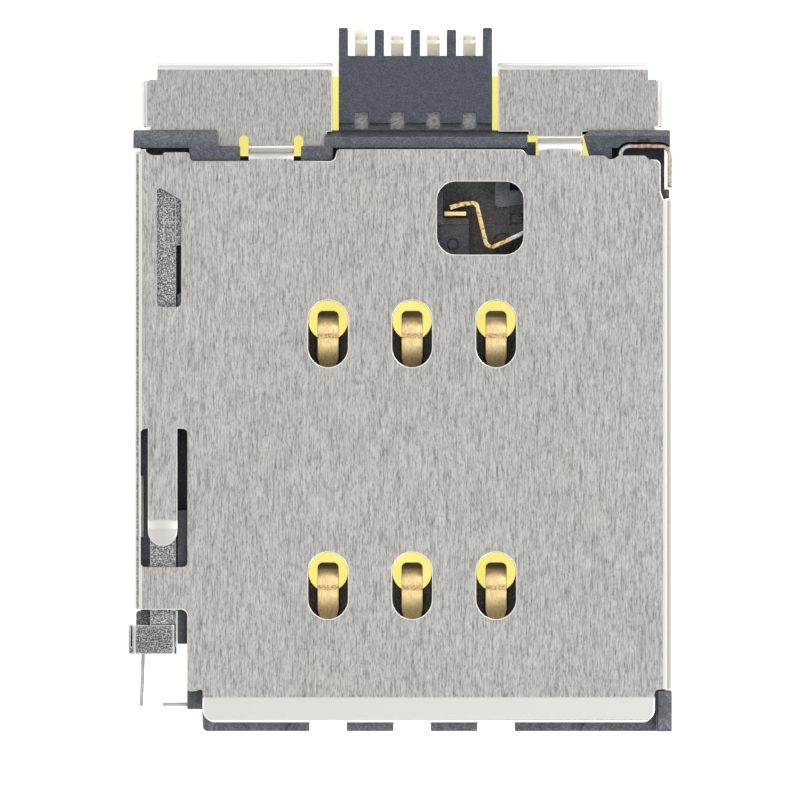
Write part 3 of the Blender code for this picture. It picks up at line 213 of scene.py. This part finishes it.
def rounded_copy(node, radius, finishes, merge=MERGE, shortest=0.0, split=False, crisp=None, edge_finish=0):
    """A copy of a CAD node with its outer edges rounded.

    Edges no longer than shortest stay sharp, and so do those that end at the corner crisp.
    With split, all faces are cut into triangles first, as those with holes would crumple. Faces
    that the rounding folds over are taken out. The rounded edges take the finish edge_finish.
    """
    mesh = frame["nodes"][node].data.copy()
    shape = bmesh.new()
    shape.from_mesh(mesh)
    bmesh.ops.remove_doubles(shape, verts=shape.verts, dist=merge * MM)
    bmesh.ops.dissolve_limit(shape, angle_limit=FLAT, verts=shape.verts, edges=shape.edges)
    if split:
        bmesh.ops.triangulate(shape, faces=shape.faces)
    surface = BVHTree.FromBMesh(shape)
    weight = shape.edges.layers.float.new("bevel_weight_edge")
    for edge in shape.edges:
        free = not crisp or min((end.co.xy - Vector(crisp) * MM).length for end in edge.verts) > radius * MM
        if len(edge.link_faces) == 2 and edge.calc_length() > shortest * MM and free:
            edge[weight] = float(edge.calc_face_angle_signed() > SHARP)
    shape.to_mesh(mesh)
    shape.free()
    for name in [item.name for item in mesh.attributes if item.name in ("custom_normal", "sharp_edge")]:
        mesh.attributes.remove(mesh.attributes[name])
    mesh.materials.clear()
    for finish in finishes:
        mesh.materials.append(finish)
    piece = bpy.data.objects.new(node + "_finished", mesh)
    bpy.context.scene.collection.objects.link(piece)
    rounding = piece.modifiers.new("rounding", "BEVEL")
    rounding.width = radius * MM
    rounding.segments = 2
    rounding.limit_method = "WEIGHT"
    rounding.use_clamp_overlap = False
    rounding.material = edge_finish
    plain_mesh(piece)
    shape = bmesh.new()
    shape.from_mesh(piece.data)
    folded = [face for face in shape.faces
              if surface.find_nearest(face.calc_center_median())[1].dot(face.normal) < FOLDED]
    bmesh.ops.delete(shape, geom=folded, context="FACES_ONLY")
    shape.to_mesh(piece.data)
    shape.free()
    low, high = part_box(node)
    for vertex in piece.data.vertices:
        vertex.co = [min(max(value, start), end) for value, start, end in zip(vertex.co, low, high)]
    piece.data.shade_smooth()
    piece.data.set_sharp_from_angle(angle=SHADING_SPLIT)
    level = piece.modifiers.new("level_faces", "WEIGHTED_NORMAL")
    level.keep_sharp = True
    plain_mesh(piece)
    stand_for(piece, node)
    return piece


plastic_finish, tree, shader = new_finish("speckled_plastic", 0.0, 0.55)
speckle = noise(tree, (0.05, 0.05, 0.05), detail=3.0)
blotches = noise(tree, (0.22, 0.22, 0.22), detail=3.0, offset=20.0)
# Painted light and shade: each height of the moulding gets a tone of its own.
tone = ramp(tree, along(tree, "Z", 0.4, 1.6), [(0.05, (0.100, 0.102, 0.108)), (0.27, (0.064, 0.066, 0.076)),
                                               (0.43, (0.090, 0.090, 0.105)), (0.50, (0.041, 0.047, 0.065)),
                                               (0.58, (0.041, 0.047, 0.065)), (0.66, (0.065, 0.071, 0.086)),
                                               (0.90, (0.070, 0.075, 0.095))])
tone = blend(tree, along(tree, "Y", -10.0, -10.3), tone, (0.122, 0.128, 0.150, 1.0))
# Painted light and shade on the listed patches.
for span_x, span_y, shade in PAINTED_LIGHT_AND_SHADE:
    tone = blend(tree, patch(tree, span_x, span_y), tone, shade)
grains = ramp(tree, speckle, [(0.34, grey(0.55)), (0.52, grey(1.0)), (0.70, grey(1.7))])
grains = times(tree, grains, ramp(tree, blotches, [(0.35, grey(0.80)), (0.65, grey(1.2))]))
# Painted light: slopes are paler than level faces.
slopes = ramp(tree, upward(tree), [(0.30, grey(0.75)), (0.60, (1.35, 1.35, 1.15)),
                                   (0.95, (1.35, 1.35, 1.15)), (0.99, grey(1.0))])
tree.links.new(times(tree, times(tree, tone, grains), slopes), shader.inputs["Base Color"])
bump(tree, shader, speckle, 0.005)
rounded_copy("housing", EDGE_RADIUS, [plastic_finish], shortest=0.15, split=True, crisp=BLOCK_CORNER)

# The card contacts: six springs, stamped and formed from one strip of copper alloy. The springs
# are plated with gold and rubbed brown where cards slide over the dome, and the tails that are
# soldered to the board are tinned.

DOME_ROW = 1.32
ROW_PITCH = 7.61
RUB_HALF = 0.10


def rubbed(tree):
    """1 on the dome tops of both rows, where the cards slide."""
    place = put(tree, "ShaderNodeTexCoord", {}).outputs["Object"]
    value = put(tree, "ShaderNodeSeparateXYZ", {"Vector": place}).outputs["Y"]
    start = (ROW_PITCH / 2 - DOME_ROW) * MM
    value = put(tree, "ShaderNodeMath", {0: value, 1: start}, operation="ADD").outputs[0]
    value = put(tree, "ShaderNodeMath", {0: value, 1: ROW_PITCH * MM}, operation="FLOORED_MODULO").outputs[0]
    value = put(tree, "ShaderNodeMath", {0: value, 1: ROW_PITCH / 2 * MM}, operation="SUBTRACT").outputs[0]
    value = put(tree, "ShaderNodeMath", {0: value}, operation="ABSOLUTE").outputs[0]
    return put(tree, "ShaderNodeMapRange", {"Value": value, "From Min": RUB_HALF * MM,
                                            "From Max": RUB_HALF / 2 * MM}).outputs["Result"]


def gold(name, metallic, roughness):
    """Gold plating with fine drawing lines: the material, its tree, its shader and its colour."""
    material, tree, shader = new_finish(name, metallic, roughness)
    lines = noise(tree, (0.05, 0.40, 0.05))
    tone = ramp(tree, lines, [(0.30, (0.80, 0.54, 0.22)), (0.50, (0.93, 0.70, 0.34)),
                              (0.72, (0.96, 0.79, 0.46))])
    bump(tree, shader, lines, 0.002)
    return material, tree, shader, tone


contact_gold, tree, shader, tone = gold("contact_gold", 0.6, 0.36)
flecks = ramp(tree, noise(tree, (0.06, 0.045, 0.06), detail=3.0), [(0.40, grey(1.0)), (0.58, grey(0.15))])
tone = blend(tree, times(tree, rubbed(tree), flecks), tone, (0.40, 0.24, 0.09, 1.0))
tin = ramp(tree, noise(tree, (0.11, 0.05, 0.11), detail=3.0), [(0.36, grey(0.42)), (0.55, grey(0.80)),
                                                             (0.72, grey(0.95))])
tone = blend(tree, along(tree, "Y", 7.2, 7.4), tone, tin)
tone = blend(tree, along(tree, "Y", 9.6, 9.8), tone, (0.93, 0.86, 0.72, 1.0))
tree.links.new(tone, shader.inputs["Base Color"])

for row in ("upper", "lower"):
    for number in (1, 2, 3):
        rounded_copy(f"card_contact_{row}_{number}", EDGE_RADIUS, [contact_gold])

# The detect switch: a flat spring on edge and the bar that it rests on. A card bends the spring
# off the bar. The spring's strip is swept along its route, gold at its free end and bare past
# the window, and its tail is clipped round the right rear corner.

SPRING_THICK = 0.14
SPRING_ROUTE = ((1.51, 5.20), (1.83, 5.30, 0.3), (2.30, 5.36, 0.17), (2.64, 3.920, 0.2),
                (6.66, 5.83, 0.4), (6.66, 7.066, 0.27), (8.154, 7.066, 0.27), (8.154, 5.80))
STRIP_EDGE = 0.025
STRIP_SPLIT = math.radians(45)


def strip_tree():
    """Node tree that sweeps a strip on edge along a curve.

    The radius of each point of the curve is the bend there.
    """
    tree = bpy.data.node_groups.new("strip_on_edge", "GeometryNodeTree")
    for name, kind in (("Geometry", "Geometry"), ("Thickness", "Float"), ("Height", "Float"),
                       ("Edge", "Float"), ("Finish", "Material")):
        tree.interface.new_socket(name, in_out="INPUT", socket_type="NodeSocket" + kind)
    tree.interface.new_socket("Geometry", in_out="OUTPUT", socket_type="NodeSocketGeometry")
    given = put(tree, "NodeGroupInput", {}).outputs
    bend = put(tree, "GeometryNodeInputRadius", {}).outputs[0]
    route = put(tree, "GeometryNodeFilletCurve", {"Curve": given["Geometry"], "Count": 6, "Radius": bend},
                mode="POLY").outputs[0]
    route = put(tree, "GeometryNodeSetCurveRadius", {"Curve": route, "Radius": 1.0}).outputs[0]
    route = put(tree, "GeometryNodeSetCurveNormal", {"Curve": route}, mode="Z_UP").outputs[0]
    section = put(tree, "GeometryNodeCurvePrimitiveQuadrilateral",
                  {"Width": given["Thickness"], "Height": given["Height"]}, mode="RECTANGLE").outputs[0]
    section = put(tree, "GeometryNodeFilletCurve", {"Curve": section, "Count": 2, "Radius": given["Edge"]},
                  mode="POLY").outputs[0]
    strip = put(tree, "GeometryNodeCurveToMesh", {"Curve": route, "Profile Curve": section,
                                                  "Fill Caps": True}).outputs[0]
    strip = put(tree, "GeometryNodeRealizeInstances", {"Geometry": strip}).outputs[0]
    strip = put(tree, "GeometryNodeSetMaterial", {"Geometry": strip, "Material": given["Finish"]}).outputs[0]
    put(tree, "NodeGroupOutput", {"Geometry": strip})
    return tree


STRIP_TREE = strip_tree()


def swept_strip(node, route, thickness, finish):
    """A strip on edge along a route of (x, y, bend), as high as the CAD node it stands for."""
    low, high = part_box(node)
    curve = bpy.data.curves.new(node, "CURVE")
    curve.dimensions = "3D"
    spline = curve.splines.new("POLY")
    spline.points.add(len(route) - 1)
    for point, (x, y, *bend) in zip(spline.points, route):
        point.co = (x * MM, y * MM, (low[2] + high[2]) / 2, 1.0)
        point.radius = bend[0] * MM if bend else 0.0
    source = bpy.data.objects.new(node + "_route", curve)
    bpy.context.scene.collection.objects.link(source)
    sweep = source.modifiers.new("sweep", "NODES")
    sweep.node_group = STRIP_TREE
    sizes = {"Thickness": thickness * MM, "Height": high[2] - low[2], "Edge": STRIP_EDGE * MM,
             "Finish": finish}
    for item in STRIP_TREE.interface.items_tree:
        if item.in_out == "INPUT" and item.name in sizes:
            sweep[item.identifier] = sizes[item.name]
    bpy.context.view_layer.update()
    mesh = bpy.data.meshes.new_from_object(source.evaluated_get(bpy.context.evaluated_depsgraph_get()))
    bpy.data.objects.remove(source, do_unlink=True)
    mesh.shade_smooth()
    mesh.set_sharp_from_angle(angle=STRIP_SPLIT)
    piece = bpy.data.objects.new(node + "_finished", mesh)
    bpy.context.scene.collection.objects.link(piece)
    stand_for(piece, node)
    return piece


spring_gold, tree, shader, tone = gold("spring_gold", 1.0, 0.30)
spots = ramp(tree, noise(tree, (0.10, 0.10, 0.40), detail=3.0), [(0.36, (0.40, 0.24, 0.10)),
                                                                (0.50, grey(1.0))])
silver = ramp(tree, noise(tree, (0.08, 0.08, 0.08)), [(0.35, grey(0.45)), (0.60, grey(0.78))])
copper = ramp(tree, noise(tree, (0.12, 0.12, 0.12), detail=3.0), [(0.38, (0.40, 0.29, 0.21)),
                                                                (0.60, (0.80, 0.66, 0.52))])
tone = blend(tree, along(tree, "X", 3.25, 3.35), times(tree, tone, spots), silver)
tone = blend(tree, along(tree, "X", 6.95, 7.10), tone, copper)
tree.links.new(tone, shader.inputs["Base Color"])
swept_strip("detect_spring", SPRING_ROUTE, SPRING_THICK, spring_gold)
rounded_copy("detect_contact", 0.015, [contact_gold])

# Two thin leaf strips of hard stainless spring steel, stood on edge in slits of the housing: a
# long one at the left side and a short one at the front left block.

LEAF_THICK = 0.11
SIDE_LEAF_ROUTE = ((-7.45, -0.30), (-7.45, -0.80, 0.2), (-7.78, -1.25, 0.3), (-7.78, -5.20, 3.0),
                   (-7.78, -8.30, 3.0), (-7.835, -9.88))
FRONT_LEAF_ROUTE = ((-7.19, -9.83), (-6.10, -9.83))

spring_steel, tree, shader = new_finish("spring_steel", 1.0, 0.32)
grain = noise(tree, (0.3, 0.3, 0.03))
tree.links.new(ramp(tree, grain, [(0.3, grey(0.44)), (0.7, grey(0.62))]), shader.inputs["Base Color"])
swept_strip("side_leaf_spring", SIDE_LEAF_ROUTE, LEAF_THICK, spring_steel)
swept_strip("front_leaf_strip", FRONT_LEAF_ROUTE, LEAF_THICK, spring_steel)

# The push rod and the eject lever: thick steel stampings, tumbled until they are rough all over
# and bright along their edges. Their lower faces are painted darker as painted shade, their
# folds and slopes pale as painted light, and the rod is darker towards its front end. The rod is
# pushed at its folded head, and its slanted end swings the lever that drives the card tray out.

rough_steel, tree, shader = new_finish("tumbled_steel", 1.0, 0.45)
pits = noise(tree, (0.047, 0.047, 0.047), detail=3.0, roughness=0.8)
grains = ramp(tree, pits, [(0.38, grey(0.05)), (0.50, grey(0.20)), (0.61, grey(0.76))])
# Painted shade: faces lower than about 1.3 mm are darker.
grains = times(tree, grains, ramp(tree, along(tree, "Z", 1.28, 1.36), [(0.0, grey(0.45)), (1.0, grey(1.0))]))
# Past y -7.4 mm the rod is darker.
grains = times(tree, grains, ramp(tree, along(tree, "Y", -7.35, -7.45),
                                  [(0.0, grey(1.0)), (1.0, grey(0.72))]))
# Painted light: folds and slopes are pale.
folds = ramp(tree, upward(tree), [(0.45, grey(0.0)), (0.70, grey(1.0)), (0.93, grey(1.0)),
                                  (0.99, grey(0.0))])
tree.links.new(blend(tree, folds, grains, (0.62, 0.62, 0.61, 1.0)), shader.inputs["Base Color"])
bump(tree, shader, pits, 0.012)
bright_steel, tree, shader = new_finish("rubbed_edge", 1.0, 0.35)
rub = noise(tree, (0.05, 0.05, 0.05))
tree.links.new(ramp(tree, rub, [(0.35, grey(0.45)), (0.6, grey(0.80))]), shader.inputs["Base Color"])
rounded_copy("push_rod", EDGE_RADIUS, [rough_steel, bright_steel], edge_finish=1)
rounded_copy("eject_lever", EDGE_RADIUS, [rough_steel, bright_steel], edge_finish=1)

# The cover: stainless sheet, 0.15 mm thick, with its rolling grain along the card's way. It is
# stamped, joggled at the rear and folded down at the sides. Painted light makes its bends, its
# slopes and the tongue's nose pale, brightest at the rear joggle, and painted shade darkens its
# upright and lower faces. Bands of painted highlight and shade run along the side folds. Its
# sheared edges are rolled bright, and a painted highlight makes them brighter still.

TONGUE_NOSE = ((-7.70, -6.80), (-5.10, -4.25))
WALLS = (-9.38, 6.80)
BRIDGES = (6.90, 7.50)

brushed_steel, tree, shader = new_finish("brushed_cover", 1.0, 0.42)
fine = noise(tree, (0.034, 0.15, 0.034), detail=2.0, roughness=0.6)
streak = noise(tree, (0.042, 0.65, 0.042), detail=2.0, roughness=0.5, offset=40.0)
cloud = noise(tree, (2.5, 6.0, 2.5), offset=90.0)
tone = ramp(tree, fine, [(0.28, grey(0.265)), (0.47, grey(0.492)), (0.72, grey(0.62))])
tone = times(tree, tone, ramp(tree, streak, [(0.30, grey(0.67)), (0.50, grey(1.0)), (0.75, grey(1.14))]))
tone = times(tree, tone, ramp(tree, cloud, [(0.3, (0.98, 0.96, 0.91)), (0.7, (1.02, 1.00, 0.96))]))
# Painted shade: faces below 1.5 mm are a little darker.
tone = times(tree, tone, ramp(tree, along(tree, "Z", 1.3, 1.5), [(0.0, grey(0.93)), (1.0, grey(1.0))]))
# Painted light on bends and slopes.
pale = (0.62, 0.605, 0.572, 1.0)
bends = ramp(tree, upward(tree), [(0.970, grey(1.0)), (0.990, grey(0.0))])
tone = blend(tree, bends, tone, pale)
# Painted highlight: the bends of the rear joggle are brighter still.
tone = blend(tree, times(tree, bends, band(tree, "Y", *BRIDGES)), tone, (0.90, 0.88, 0.84, 1.0))
# Painted shade: upright faces are a darker grey.
upright = ramp(tree, upward(tree), [(0.20, grey(1.0)), (0.40, grey(0.0))])
tone = blend(tree, upright, tone, (0.40, 0.395, 0.375, 1.0))
# Painted light: the tongue's nose is pale.
tone = blend(tree, patch(tree, *TONGUE_NOSE), tone, pale)
dots = ramp(tree, noise(tree, (0.10, 0.06, 0.10), detail=3.0), [(0.38, grey(0.16)), (0.60, grey(0.40))])
# Painted highlight and shade: bright and dark bands along the side folds.
for span, shade in (((-7.90, -7.81), (0.74, 0.73, 0.69, 1.0)), ((-7.97, -7.91), dots),
                    ((7.95, 8.05), (0.80, 0.78, 0.74, 1.0)), ((8.07, 8.20), (0.47, 0.45, 0.42, 1.0))):
    tone = blend(tree, patch(tree, span, WALLS), tone, shade)
tree.links.new(tone, shader.inputs["Base Color"])
shader.inputs["Specular Tint"].default_value = (0.5, 0.5, 0.5, 1.0)
bump(tree, shader, fine, 0.002)
# The rolled edges: bright as rolled steel is, and brighter still as a painted highlight.
rolled_edge_and_highlight, tree, shader = new_finish("rolled_edge_and_highlight", 1.0, 0.28)
rub = noise(tree, (0.06, 0.30, 0.06))
tree.links.new(ramp(tree, rub, [(0.35, (0.86, 0.85, 0.82)), (0.6, (1.00, 0.99, 0.96))]),
               shader.inputs["Base Color"])
rounded_copy("cover", 0.03, [brushed_steel, rolled_edge_and_highlight], merge=0.02, shortest=0.04, edge_finish=1)

# The studio: a white light table with four soft boxes round it. The camera hangs over the middle
# of the picture on a long lens, so that hardly any perspective shows.

PIXELS_PER_MM = 33.1
PICTURE = 800
ORIGIN_PIXEL = (400.2, 379.5)
CAMERA_HEIGHT = 1000.0
SENSOR = 36.0
TABLE_SIZE = 1200.0
TABLE_GAP = 0.002

table_finish, tree, shader = new_finish("white_table", 0.0, 0.9)
shader.inputs["Base Color"].default_value = (0.9, 0.9, 0.9, 1.0)
shader.inputs["Emission Color"].default_value = (1.0, 1.0, 1.0, 1.0)
shader.inputs["Emission Strength"].default_value = 0.75
half = TABLE_SIZE / 2 * MM
table = bpy.data.meshes.new("table")
corners = [(-half, -half, 0), (half, -half, 0), (half, half, 0), (-half, half, 0)]
table.from_pydata(corners, [], [(0, 1, 2, 3)])
table.materials.append(table_finish)
table = bpy.data.objects.new("table", table)
table.location.z = -TABLE_GAP * MM
bpy.context.scene.collection.objects.link(table)

world = bpy.data.worlds.new("studio")
world.use_nodes = True
world.node_tree.nodes["Background"].inputs["Color"].default_value = (1.0, 1.0, 1.0, 1.0)
world.node_tree.nodes["Background"].inputs["Strength"].default_value = 0.85
bpy.context.scene.world = world

BOX_DISTANCE = 160.0
BOX_HEIGHT = 130.0
BOX_SIZE = 130.0
BOX_POWER = (0.16, 0.06, 0.06, 0.12)
for number, power in enumerate(BOX_POWER):
    turn = math.radians(45 + 90 * number)
    light = bpy.data.lights.new(f"soft_box_{number + 1}", "AREA")
    light.shape = "SQUARE"
    light.size = BOX_SIZE * MM
    light.energy = power
    lamp = bpy.data.objects.new(light.name, light)
    lamp.location = Vector((math.cos(turn) * BOX_DISTANCE, math.sin(turn) * BOX_DISTANCE, BOX_HEIGHT)) * MM
    lamp.rotation_euler = (-lamp.location).to_track_quat("-Z", "Y").to_euler()
    lamp.visible_camera = False
    bpy.context.scene.collection.objects.link(lamp)

view_mm = PICTURE / PIXELS_PER_MM
lens = bpy.data.cameras.new("camera")
lens.sensor_width = SENSOR
lens.lens = SENSOR * CAMERA_HEIGHT / view_mm
lens.clip_start = 1.0 * MM
lens.clip_end = 1000.0
camera = bpy.data.objects.new("camera", lens)
camera.location = Vector(((PICTURE / 2 - ORIGIN_PIXEL[0]) / PIXELS_PER_MM,
                          (ORIGIN_PIXEL[1] - PICTURE / 2) / PIXELS_PER_MM,
                          cad_high.z / MM + CAMERA_HEIGHT)) * MM
bpy.context.scene.collection.objects.link(camera)
bpy.context.scene.camera = camera
bpy.context.scene.view_settings.view_transform = "Standard"
